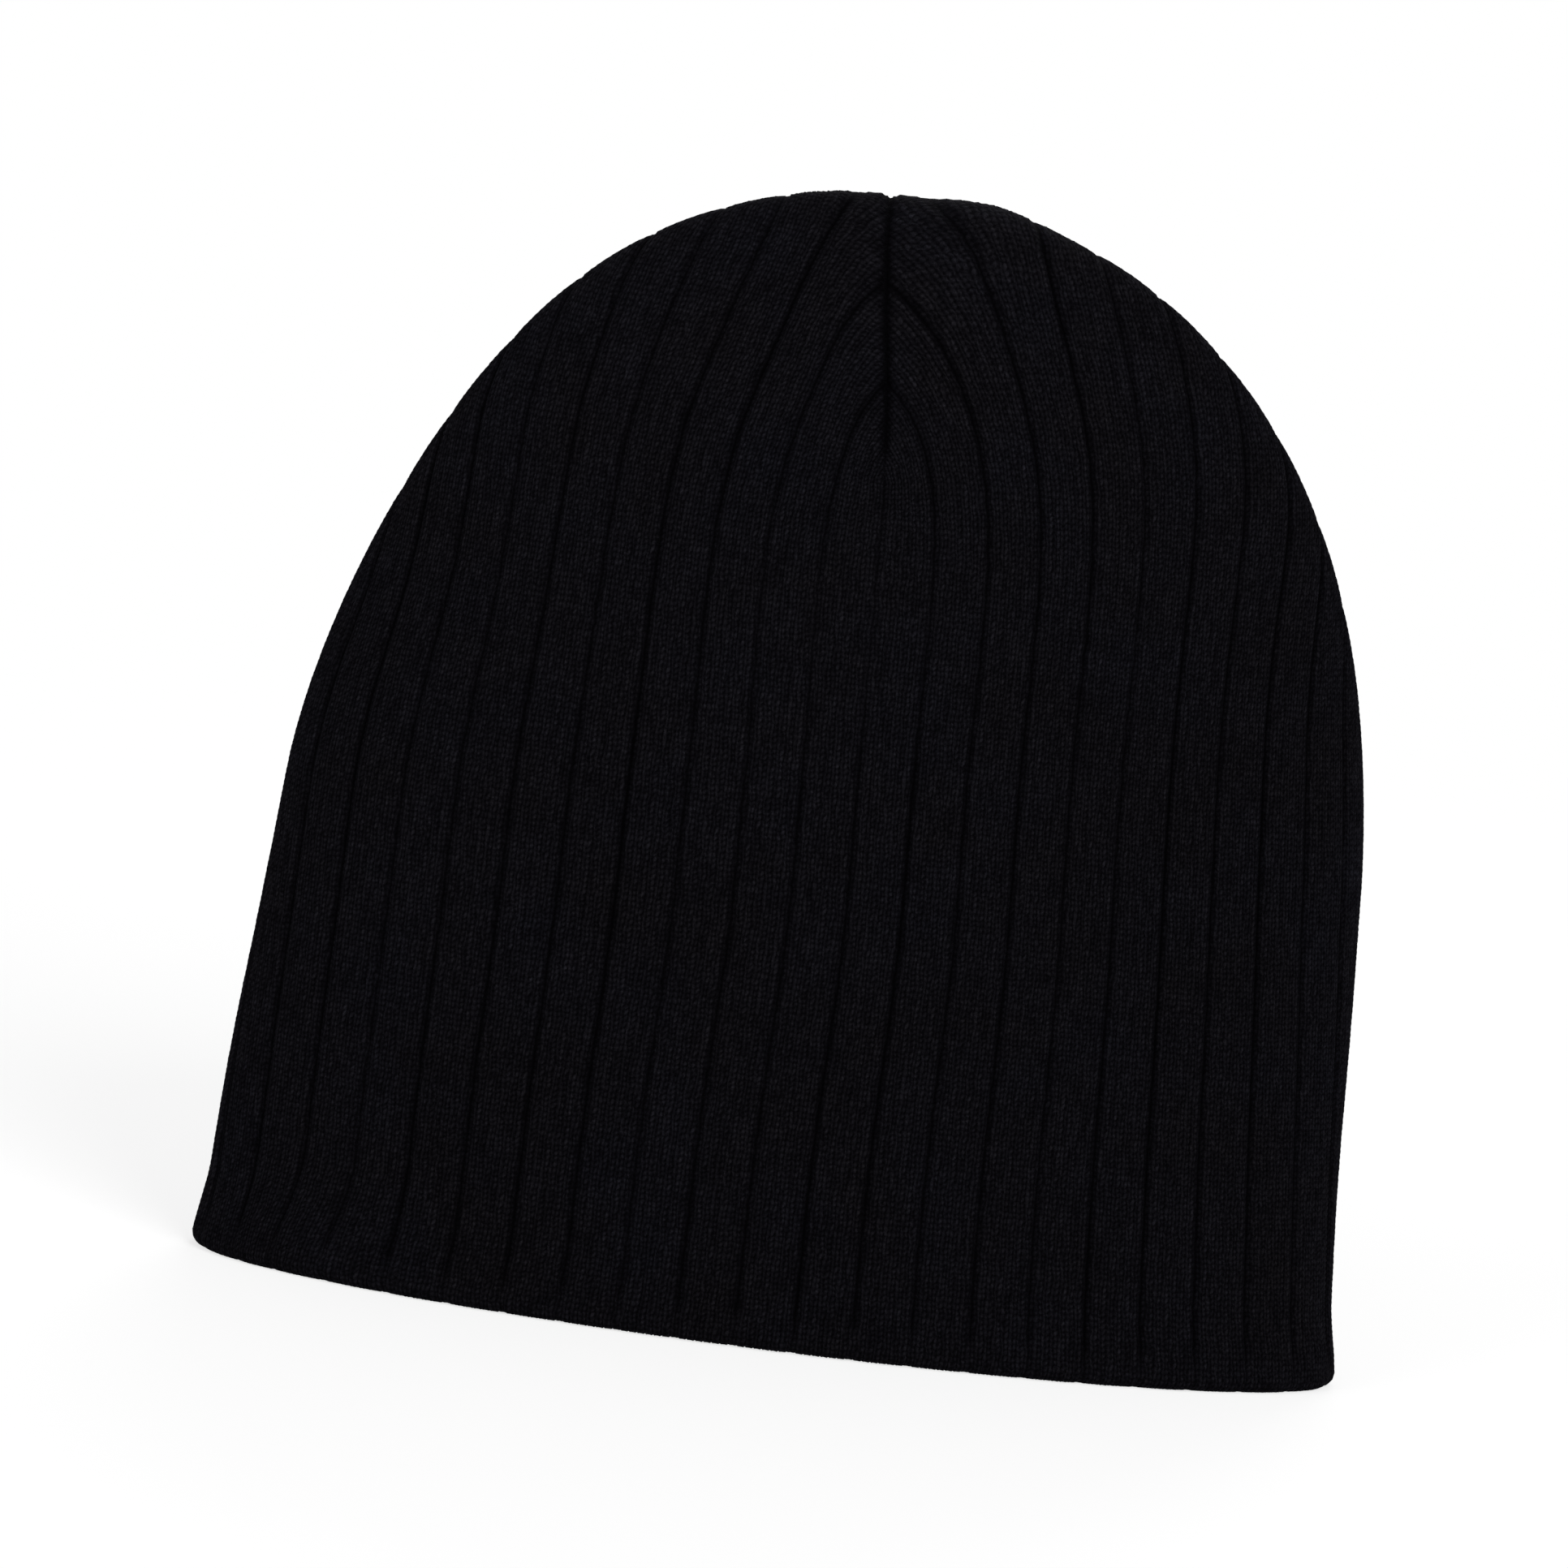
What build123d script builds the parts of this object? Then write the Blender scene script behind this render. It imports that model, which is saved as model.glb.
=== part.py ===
from build123d import *
import os

# A soft double-layer rib-knit beanie, standing on its hem with its mouth eased open.
#
# Millimetres, +Z up through the crown, the front of the hat facing -Y. The origin is the middle of the mouth, on
# the surface that the hem rests on. The hat is one knitted tube folded double at the hem, and each layer's crown is
# closed by four darts. Every form is a solid of revolution pressed flatter front to back, so that both layers, their
# seams and the label follow one shape.

# The hat as it stands, over all
mouth_width = 208.0
mouth_depth = 58.0
crown_height = 205.5

# The side profile: a side that leans in a little, then one curve over the shoulder to the crown's small flat
side_height = 90.0
side_lean_in = 6.4
shoulder_rise = 24.0
crown_reach = 80.0
crown_flat = 1.5

# The knit
outer_thickness = 1.7
inner_thickness = 1.7
layer_gap = 1.4

# The fold at the hem. Its rounding takes at most a share of its thickness, which is least beside the two ends
fold_height = 4.0
fold_round = 1.7
fold_round_limit = 0.38

# The crown's darts, measured down from the top, and their overlocked seams between the layers
front_dart_length = 52.0
side_dart_length = 94.0
seam_width = 3.2
seam_stop = 5.0

# The tack that holds the two crowns together
tack_diameter = 6.0

# The blank label inside the back, and the stitches that hold its two ends
label_width = 24.0
label_length = 34.0
label_height = 26.0
label_thickness = 0.5
label_margin = 2.5
thread_thickness = 0.4
stitch_length = 2.4
stitch_count = 5

# The air left between two loose surfaces that lie on each other
lying_gap = 0.1

# How far each surface lies inside the hat's outer face
outer_back = outer_thickness
gap_middle = outer_back + layer_gap / 2
inner_face = outer_back + layer_gap
inner_back = inner_face + inner_thickness
label_face = inner_back + lying_gap
label_back = label_face + label_thickness
thread_face = label_back + lying_gap
thread_back = thread_face + thread_thickness

# A rounded corner's handle is this share of its radius
corner_handle = 0.55


def dome(inset, foot):
    """The hat's filled form drawn in by an inset all round, from the height foot to the crown."""
    hem_x = mouth_width / 2 - inset
    lean = side_lean_in / side_height
    side_top = (hem_x - side_lean_in, side_height)
    rise = shoulder_rise - corner_handle * inset
    reach = crown_reach - corner_handle * inset
    top = crown_height - inset
    with BuildPart() as form:
        with BuildSketch(Plane.XZ):
            with BuildLine():
                Polyline((crown_flat, top), (0, top), (0, foot), (hem_x - lean * foot, foot), side_top)
                Bezier(side_top, (side_top[0] - lean * rise, side_height + rise), (reach, top), (crown_flat, top))
            make_face()
        revolve(axis=Axis.Z)
        scale(by=(1, (mouth_depth / 2 - inset) / hem_x, 1))
    return form.part


def between(outer_inset, inner_inset, foot):
    """The shell between two of those forms, from the height foot up."""
    with BuildPart() as shell:
        add(dome(outer_inset, foot))
        add(dome(inner_inset, foot - fold_height), mode=Mode.SUBTRACT)
    return shell.part


def corner_box(low, high):
    """A box given by its lowest and highest corners."""
    size = [high[i] - low[i] for i in range(3)]
    with BuildPart() as block:
        with Locations(low):
            Box(*size, align=(Align.MIN, Align.MIN, Align.MIN))
    return block.part


def finish(piece, name):
    """Name a piece and write it to its own file."""
    piece.label = name
    export_step(piece, f"parts/{name}.step")


os.makedirs("parts", exist_ok=True)

# The outer layer, with the hem's fold at its foot, flattened a little where it rests
with BuildPart() as outer_layer:
    add(between(0, inner_back, -fold_height))
    split(bisect_by=Plane.XY, keep=Keep.TOP)
    fillet(outer_layer.edges().group_by(Axis.Z)[0], min(fold_round, fold_round_limit * inner_back))
    add(dome(outer_back, fold_height), mode=Mode.SUBTRACT)
finish(outer_layer.part, "outer_layer")

# The inner layer, which goes on up from the fold
with BuildPart() as inner_layer:
    add(between(inner_face, inner_back, fold_height))
finish(inner_layer.part, "inner_layer")

# The dart seams. Each side of the crown has one in either layer, and the two lie back to back in the gap
far = mouth_width
half_seam = seam_width / 2
dart_zones = {
    "front": ((-half_seam, -far, crown_height - front_dart_length), (half_seam, -seam_stop, far * 2)),
    "back": ((-half_seam, seam_stop, crown_height - front_dart_length), (half_seam, far, far * 2)),
    "left": ((-far, -half_seam, crown_height - side_dart_length), (-seam_stop, half_seam, far * 2)),
    "right": ((seam_stop, -half_seam, crown_height - side_dart_length), (far, half_seam, far * 2)),
}
layer_gaps = {
    "outer": (outer_back + lying_gap, gap_middle - lying_gap),
    "inner": (gap_middle + lying_gap, inner_face - lying_gap),
}
for layer, (outside, inside) in layer_gaps.items():
    for side, (low, high) in dart_zones.items():
        with BuildPart() as dart_seam:
            add(between(outside, inside, fold_height))
            add(corner_box(low, high), mode=Mode.INTERSECT)
        finish(dart_seam.part, f"{layer}_dart_seam_{side}")

# The tack in the middle of the crown, from one layer to the other
with BuildPart() as crown_tack:
    add(between(outer_back + lying_gap, inner_face - lying_gap, fold_height))
    with Locations((0, 0, crown_height / 2)):
        Cylinder(tack_diameter / 2, crown_height, align=(Align.CENTER, Align.CENTER, Align.MIN), mode=Mode.INTERSECT)
finish(crown_tack.part, "crown_tack")

# The label, flat against the inside of the back
half_label = label_width / 2
label_top = label_height + label_length
with BuildPart() as care_label:
    add(between(label_face, label_back, fold_height))
    add(corner_box((-half_label, 0, label_height), (half_label, far, label_top)), mode=Mode.INTERSECT)
finish(care_label.part, "care_label")

# Its stitches: a row of short threads across each end
with BuildPart() as stitch_rows:
    for row_height in (label_height + label_margin, label_top - label_margin):
        with Locations((0, 0, row_height)):
            with GridLocations((label_width - stitch_length * 2) / (stitch_count - 1), 1, stitch_count, 1):
                Box(stitch_length, far, thread_thickness * 2, align=(Align.CENTER, Align.MIN, Align.CENTER))
with BuildPart() as label_stitches:
    add(between(thread_face, thread_back, fold_height))
    add(stitch_rows.part, mode=Mode.INTERSECT)
finish(label_stitches.part, "label_stitches")
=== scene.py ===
import math

import bmesh
import bpy
import numpy as np
from mathutils import Matrix, Vector


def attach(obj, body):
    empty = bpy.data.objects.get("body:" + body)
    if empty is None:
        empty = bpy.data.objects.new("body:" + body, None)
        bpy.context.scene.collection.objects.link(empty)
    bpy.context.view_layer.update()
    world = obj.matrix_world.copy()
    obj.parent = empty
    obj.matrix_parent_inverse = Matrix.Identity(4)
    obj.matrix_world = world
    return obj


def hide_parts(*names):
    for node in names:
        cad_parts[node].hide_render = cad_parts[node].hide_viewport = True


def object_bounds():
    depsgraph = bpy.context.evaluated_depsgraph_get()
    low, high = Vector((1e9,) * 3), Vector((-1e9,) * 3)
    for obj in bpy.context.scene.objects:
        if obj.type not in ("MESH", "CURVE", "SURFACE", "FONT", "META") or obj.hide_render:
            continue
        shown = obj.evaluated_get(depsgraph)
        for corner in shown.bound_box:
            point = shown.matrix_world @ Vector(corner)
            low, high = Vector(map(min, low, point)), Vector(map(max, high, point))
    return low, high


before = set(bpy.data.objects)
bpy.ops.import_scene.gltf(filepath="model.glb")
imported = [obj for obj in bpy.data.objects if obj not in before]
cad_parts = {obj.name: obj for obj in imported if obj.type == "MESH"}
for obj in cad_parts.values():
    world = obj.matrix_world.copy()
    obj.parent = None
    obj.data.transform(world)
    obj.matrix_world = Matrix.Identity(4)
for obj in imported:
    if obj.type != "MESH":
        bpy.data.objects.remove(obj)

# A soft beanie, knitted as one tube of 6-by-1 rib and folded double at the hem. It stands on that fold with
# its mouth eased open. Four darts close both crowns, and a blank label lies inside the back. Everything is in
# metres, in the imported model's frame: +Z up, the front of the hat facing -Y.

cad_low, cad_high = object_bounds()
cad_middle = (cad_low + cad_high) / 2
mm = 0.001

# The camera looks at the front of the hat from a little above, through a long lens. It is turned about its
# own axis by the slope that the hem has in the view.
view_width = 283 * mm
camera_distance = 1200 * mm
camera_rise = math.radians(9.6)
camera_turn = math.radians(7.2)
look_at = cad_middle + Vector((-8.2, 0, -5)) * mm

camera_lens = bpy.data.cameras.new("camera")
camera_lens.sensor_width = 36
camera_lens.lens = camera_lens.sensor_width * camera_distance / view_width
camera = bpy.data.objects.new("camera", camera_lens)
away = Vector((0, -math.cos(camera_rise), math.sin(camera_rise)))
facing = Matrix.Rotation(math.pi / 2 - camera_rise, 4, "X") @ Matrix.Rotation(camera_turn, 4, "Z")
camera.matrix_world = Matrix.Translation(look_at + away * camera_distance) @ facing
bpy.context.scene.collection.objects.link(camera)
bpy.context.scene.camera = camera
bpy.context.scene.view_settings.view_transform = "Standard"


# The stage is a plain white floor, a plain white world and three soft lamps. Seen by the camera the floor and
# the world are white, and the floor also keeps the hat's soft shadow.
class Wire:
    """A node's output. Sums and products with it, or with numbers, add their Math nodes to its tree."""

    def __init__(self, tree, socket):
        self.tree, self.socket = tree, socket

    @staticmethod
    def node(tree, kind, settings=None, sockets=None, output=0):
        """Add a node, set it up and fill its sockets with values or wires. Returns one output's wire."""
        added = tree.nodes.new(kind)
        for name, value in (settings or {}).items():
            setattr(added, name, value)
        for name, value in (sockets or {}).items():
            if isinstance(value, Wire):
                tree.links.new(value.socket, added.inputs[name])
            else:
                added.inputs[name].default_value = value
        return Wire(tree, added.outputs[output] if len(added.outputs) else None)

    def math(self, operation, *others, swap=False):
        terms = [*others, self] if swap else [self, *others]
        return Wire.node(self.tree, "ShaderNodeMath", {"operation": operation}, dict(enumerate(terms)))

    def __add__(self, other):
        return self.math("ADD", other)

    def __sub__(self, other):
        return self.math("SUBTRACT", other)

    def __rsub__(self, other):
        return self.math("SUBTRACT", other, swap=True)

    def __mul__(self, other):
        return self.math("MULTIPLY", other)

    def __truediv__(self, other):
        return self.math("DIVIDE", other)

    def __pow__(self, other):
        return self.math("POWER", other)

    def __neg__(self):
        return self.math("MULTIPLY", -1.0)

    __radd__ = __add__
    __rmul__ = __mul__


def new_material(name):
    """An empty material, and the tree to build it in."""
    material = bpy.data.materials.new(name)
    material.use_nodes = True
    material.node_tree.nodes.clear()
    return material, material.node_tree


def seen_as_background(tree):
    """1 for what the camera sees, also mirrored or through glass, and 0 for light on its way to the hat."""
    camera_ray, glossy_ray, transmission_ray = (
        Wire.node(tree, "ShaderNodeLightPath", output=f"Is {ray} Ray")
        for ray in ("Camera", "Glossy", "Transmission"))
    return camera_ray + glossy_ray + transmission_ray


def place(name, data):
    """A new object in the scene, at the origin."""
    placed = bpy.data.objects.new(name, data)
    bpy.context.scene.collection.objects.link(placed)
    return placed


floor_size = 8.0
floor_shadow_share = 0.3
shadow_near = 0.3
shadow_far = 0.8
floor_white = (0.93, 0.93, 0.93, 1)
pure_white = (1, 1, 1, 1)
daylight = 0.52

floor_material, tree = new_material("floor_white")
spot = Wire.node(tree, "ShaderNodeTexCoord", output="Object")
from_middle = Wire.node(tree, "ShaderNodeVectorMath", {"operation": "LENGTH"}, {0: spot}, output="Value")
shadow_share = Wire.node(tree, "ShaderNodeMapRange", {"interpolation_type": "SMOOTHSTEP"},
                         {"Value": from_middle, "From Min": shadow_near, "From Max": shadow_far,
                          "To Min": floor_shadow_share, "To Max": 0.0})
glow = Wire.node(tree, "ShaderNodeEmission", {}, {"Color": pure_white, "Strength": 1.0})
chalk = Wire.node(tree, "ShaderNodeBsdfDiffuse", {}, {"Color": floor_white})
floor_surface = Wire.node(tree, "ShaderNodeMixShader", {},
                          {0: seen_as_background(tree) * (1 - shadow_share), 1: chalk, 2: glow})
Wire.node(tree, "ShaderNodeOutputMaterial", {}, {"Surface": floor_surface})

floor_mesh = bpy.data.meshes.new("floor")
half_floor = floor_size / 2
floor_mesh.from_pydata([(-half_floor, -half_floor, 0), (half_floor, -half_floor, 0),
                        (half_floor, half_floor, 0), (-half_floor, half_floor, 0)], [], [(0, 1, 2, 3)])
floor_mesh.materials.append(floor_material)
place("floor", floor_mesh)

world = bpy.data.worlds.new("studio")
bpy.context.scene.world = world
world.use_nodes = True
tree = world.node_tree
tree.nodes.clear()
sky_strength = daylight + seen_as_background(tree) * (1 - daylight)
sky = Wire.node(tree, "ShaderNodeBackground", {}, {"Color": pure_white, "Strength": sky_strength})
Wire.node(tree, "ShaderNodeOutputWorld", {}, {"Surface": sky})

# Name, place, size and power of each lamp; all of them face the hat's middle
soft_lamps = {
    "key_lamp": ((0.75, -1.1, 1.25), 0.9, 19.0),
    "fill_lamp": ((-1.2, -1.0, 0.8), 1.2, 9.0),
    "back_lamp": ((0.3, 1.5, 1.3), 1.0, 12.0),
}
for lamp_name, (lamp_place, lamp_size, lamp_power) in soft_lamps.items():
    lamp = bpy.data.lights.new(lamp_name, "AREA")
    lamp.shape, lamp.size, lamp.energy = "DISK", lamp_size, lamp_power
    holder = place(lamp_name, lamp)
    holder.location = lamp_place
    holder.rotation_euler = (cad_middle - Vector(lamp_place)).to_track_quat("-Z", "Y").to_euler()

# The outer layer is the tube's right side: bands of six plain wales with a sunk purl wale between them, in a
# fine-gauge black acrylic yarn. It runs down the hat and round the fold at the hem, and four darts gather it
# at the crown. One grid of stitches makes it, cut along purl grooves into eight panels.
ribs_round = 44
wales_per_rib = 7
quarter_wales = ribs_round * wales_per_rib // 4
wale_at_hem = 1.508 * mm
wale_closing = 0.00104  # how much narrower each wale gets on the way up
course_height = 1.083 * mm
half_course = course_height / 2
stitch_slant = 0.8  # courses that a leg climbs across half its wale
knit_thickness = 1.5 * mm
fold_radius = 2.4 * mm
fold_top = 4 * mm
inner_inset = 2 * fold_radius

# The hat's form: an oval mouth, sides that lean in slightly, and one round curve over shoulder and crown
mouth_half_width = 104 * mm
mouth_half_depth = 29 * mm
side_height = 90 * mm
side_lean_in = 6.4 * mm
shoulder_rise = 24 * mm
crown_reach = 80 * mm
crown_flat = 1.5 * mm
crown_height = cad_high.z
corner_handle = 0.55  # how far a curve's handles move for each millimetre of inset
profile_steps = 1200


def eased(value, start, end):
    """0 up to the start, 1 from the end on, and a smooth rise between."""
    share = np.clip((value - start) / (end - start), 0, 1)
    return share * share * (3 - 2 * share)


def bell(value, middle, reach):
    """1 at the middle, and a smooth fall to 0 on both sides."""
    return np.exp(-((value - middle) / reach) ** 2)


def side_profile(inset):
    """Half width, half depth and height up the hat's form drawn in by an inset, from hem to crown."""
    hem = mouth_half_width - inset
    side_top = np.array((hem - side_lean_in, side_height))
    rise = shoulder_rise - corner_handle * inset
    top = crown_height - inset
    handles = [side_top, side_top + (-side_lean_in / side_height * rise, rise),
               (crown_reach - corner_handle * inset, top), (crown_flat, top)]
    share = np.linspace(0, 1, profile_steps)[:, None]
    side = (1 - share) * np.array((hem, 0)) + share * side_top
    over = sum(math.comb(3, i) * (1 - share) ** (3 - i) * share ** i * np.array(handles[i]) for i in range(4))
    line = np.vstack((side[:-1], over))
    return line[:, 0], line[:, 0] * (mouth_half_depth - inset) / hem, line[:, 1]


def way_along(*steps):
    """The way covered at each point of a line, from the steps between its points."""
    return np.concatenate(([0], np.cumsum(np.hypot(*steps))))


face_width, face_depth, face_height = side_profile(0)
face_length = way_along(np.diff(face_depth), np.diff(face_height))
oval_turn = np.linspace(0, math.pi / 2, 2001)
oval_across, oval_deep = np.sin(oval_turn), mouth_half_depth / mouth_half_width * np.cos(oval_turn)
oval_length = way_along(np.diff(oval_across), np.diff(oval_deep))
quarter_round = face_width * oval_length[-1]

# The front dart takes wales in from its foot upwards, slowly at first. The knit on both sides feels the same
# pull, spread over its neighbourhood, so it starts below the foot. The side darts take in what is left over.
front_dart_start = 157 * mm
dart_rate, dart_power, dart_slowing = 1.037, 0.8, 4.40
dart_heights = np.linspace(front_dart_start, crown_height, 600)
above_foot = (dart_heights - front_dart_start) / mm
dart_wales = dart_rate * above_foot ** (2 * dart_power) / (above_foot ** dart_power + dart_slowing)

tension_reach = 13 * mm
tense_heights = np.linspace(front_dart_start - 30 * mm, crown_height, 300)
tension_window = np.linspace(-tension_reach, tension_reach, 27)
dart_tension = np.interp(tense_heights[:, None] + tension_window, dart_heights, dart_wales).mean(1)
extra_tension, extra_start, extra_end = 0.4, 140 * mm, 170 * mm

side_dart_start = 116 * mm
side_dart_settled = 165 * mm
near_pull, near_wales = 0.42, 3.2
far_pull, far_wales = 0.58, 36
beside_wales = 4
swell, swell_height, swell_reach, swell_wales = 1 * mm, 136 * mm, 20 * mm, 8


def wales_round(wale, length):
    """How far round from the front dart a wale lies at a length up the hat. The dart takes in the wales next
    to it one by one and draws the rest towards it. Also the quarter of the hat's girth there, and the height."""
    height = np.interp(length, face_length, face_height)
    quarter = np.interp(length, face_length, quarter_round)
    pitch = wale_at_hem - wale_closing * height
    share = wale / quarter_wales
    settled = eased(height, side_dart_start, side_dart_settled)
    slack = pitch * quarter_wales - quarter
    way = quarter * share + slack * share * (settled + (1 - settled) * (1 - share ** 2))
    swelling = swell * bell(height, swell_height, swell_reach) * (1 - np.exp(-wale / swell_wales))
    way = way + swelling * (1 - share)
    taken = np.interp(height, dart_heights, dart_wales)
    clear = np.maximum(wale - taken, 0)
    tension = np.interp(height, tense_heights, dart_tension)
    tension = tension + extra_tension * eased(height, extra_start, extra_end)
    pull = near_pull * np.exp(-clear / near_wales) + far_pull * bell(clear, 0, far_wales)
    beside = bell(clear, 0, beside_wales)
    return np.maximum(way - pitch * pull * (taken * beside + tension * (1 - beside)), 0), quarter, height


course_dip = 5.5 * mm
course_dip_reach = 7.5 * mm
dip_start, dip_full = front_dart_start - 12 * mm, front_dart_start + 14 * mm
crown_clearance = 0.5 * mm
touching = 1e-9


def quarter_grid(wales, rows):
    """One quarter of a layer. For each wale and row the length up the hat, and for each wale where it ends:
    at the front dart (0), at the side dart (1) or in the middle of the crown (2). Courses dip towards the
    front dart."""
    table = np.linspace(0, face_length[-1], 4000)
    round_at, quarter_at, height_at = wales_round(wales[:, None], table[None])
    at_side = (height_at >= side_dart_start) & (round_at >= quarter_at - touching)
    side_end = np.where(at_side.any(1), table[at_side.argmax(1)], np.inf)
    dart_end_height = np.interp(wales, dart_wales, dart_heights, right=np.inf)
    dart_end = np.where(dart_end_height < crown_height - crown_clearance,
                        np.interp(dart_end_height, face_height, face_length), np.inf)
    ends = np.stack((dart_end, side_end, np.full_like(wales, face_length[-1])))
    length = np.repeat(rows[None], len(wales), 0)
    for _ in range(8):
        way, _, height = wales_round(wales[:, None], length)
        dip_here = course_dip * eased(height, dip_start, dip_full) * np.exp(-way / course_dip_reach)
        length = rows[None] - dip_here
    return length, ends.min(0), ends.argmin(0)


def crown_shift(height):
    """How far the hat sits to the right of its middle at a height: its shoulders and crown have gone over."""
    shoulders = 2.6 * eased(height, 85 * mm, 160 * mm)
    crown = -0.7 * eased(height, 165 * mm, 195 * mm)
    waist = -0.6 * bell(height, 37 * mm, 25 * mm)
    return (shoulders + crown + waist) * mm


def dart_lean(height):
    """How far the front and back darts' lines lean back to the left of that at a height."""
    return -4.6 * mm * eased(height, 150 * mm, 214 * mm)


dart_lean_reach = 16 * mm
bump_height, bump_place, bump_reach = 1.4 * mm, 16 * mm, 9 * mm
wave_height = 0.55 * mm
hem_flare, hem_flare_reach = 0.013, 16 * mm
wave_free_edge, wave_full_height = 10 * mm, 30 * mm


def drape(points):
    """The small unevenness of soft cloth, the same for every piece: a crown that sits a little to the right,
    a dart that leans back to the left, a bump beside the crown's middle and slow waves front and back."""
    x, y, z = points.T
    lean = dart_lean(z) * bell(x, 0, dart_lean_reach)
    bump = bump_height * bell(x, bump_place, bump_reach) * eased(z, 185 * mm, 200 * mm)
    # Three slow waves that never quite line up, in radians a metre across and up
    wave = wave_height * (np.sin(47 * x + 1.3) * np.sin(39 * z + 0.4) + 0.6 * np.sin(83 * x - 41 * z + 2.2)
                          + 0.4 * np.sin(61 * x + 97 * z))
    flare = 1 + hem_flare * (1 - eased(z, 0, hem_flare_reach))
    waving = wave * np.clip(y / wave_free_edge, -1, 1) * eased(z, 0, wave_full_height)
    return np.stack((x * flare + crown_shift(z) + lean, y + waving, z + bump), 1)


hem_slide = 5.8 * mm
front_slide_start, front_slide_end = 72 * mm, 170 * mm


def tube_slide(height, from_front):
    """How far the tube is turned round the form to the right of the front dart, most at the hem, where the
    darts don't hold it. from_front is 0 at the front's middle, 1 at a side and 2 at the back's middle."""
    front = hem_slide * (1 - eased(height, front_slide_start, front_slide_end))
    rest = hem_slide * (1 - eased(height, 0, side_dart_start))
    facing_front = np.where(from_front < 1, np.cos(from_front * math.pi / 2) ** 2, 0)
    return rest + (front - rest) * facing_front


def place_round(way, length, side_x, side_y, inset):
    """Points of the form drawn in by an inset, from the way round and the length up one quarter's face."""
    width, depth, height = side_profile(inset)
    rise = np.interp(length, face_length, face_height)
    quarter = np.interp(length, face_length, quarter_round)
    share = way / quarter
    from_front = share if side_y < 0 else 2 - share
    turned = side_x * from_front * quarter + tube_slide(rise, from_front)
    # The tube's turn may take a point past the middle of the front or the back, or past a side
    turned = (turned / quarter + 2) % 4 - 2
    part = np.abs(turned)
    folded = np.where(part <= 1, part, 2 - part)
    reach = folded * quarter / np.interp(length, face_length, face_width)
    turn = np.interp(reach, oval_length, oval_turn)
    return np.stack((np.sign(turned) * np.interp(length, face_length, width) * np.sin(turn),
                     np.where(part <= 1, -1, 1) * np.interp(length, face_length, depth) * np.cos(turn),
                     np.interp(length, face_length, height)), -1)


leg_spread = 0.3
leg_reach = 0.45
shortest_stitch = 0.1 * course_height


def knit_grid(columns_per_wale):
    """A quarter's grid of wales and half courses: how far round and how far up each point lies, and at which
    row each wale ends, and where."""
    nominal = np.arange(quarter_wales * columns_per_wale + 1) / columns_per_wale
    face_rows = fold_radius + np.arange(int((face_length[-1] + course_dip) / half_course)) * half_course
    length, end, kind = quarter_grid(nominal, face_rows)
    last = (length >= (end - shortest_stitch)[:, None]).argmax(1)
    # A plain stitch's two legs stand apart at its belly and close up at its neck
    off_middle = nominal - np.round(nominal)
    spread = np.where(np.arange(len(face_rows)) % 2 == 0, leg_spread, -leg_spread)
    wales = nominal[:, None] + (off_middle * (np.abs(off_middle) < leg_reach))[:, None] * spread[None]
    way, quarter, _ = wales_round(wales, length)
    way = np.minimum(way, quarter)
    way[-1], way[0] = quarter[-1], 0
    row = np.arange(len(face_rows))[None]
    ended = row >= last[:, None]
    end_way = np.where(kind == 1, np.interp(end, face_length, quarter_round), 0)
    way = np.where(ended, end_way[:, None], way)
    length = np.where(ended, end[:, None], length)
    return nominal, length, way, np.minimum(row, last[:, None]), last, kind


pucker_swing, pucker_foot, pucker_top = 3.6 * mm, 3 * mm, 24 * mm
pucker_place, pucker_reach, pucker_edge = 88 * mm, 15 * mm, 12 * mm


def pucker(way, length):
    """How far the front left corner's wales swing outwards just above the hem."""
    near = bell(way, pucker_place, pucker_reach) * np.clip((quarter_round[0] - way) / pucker_edge, 0, 1)
    return pucker_swing * near * (1 - eased(length, pucker_foot, pucker_top))


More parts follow.
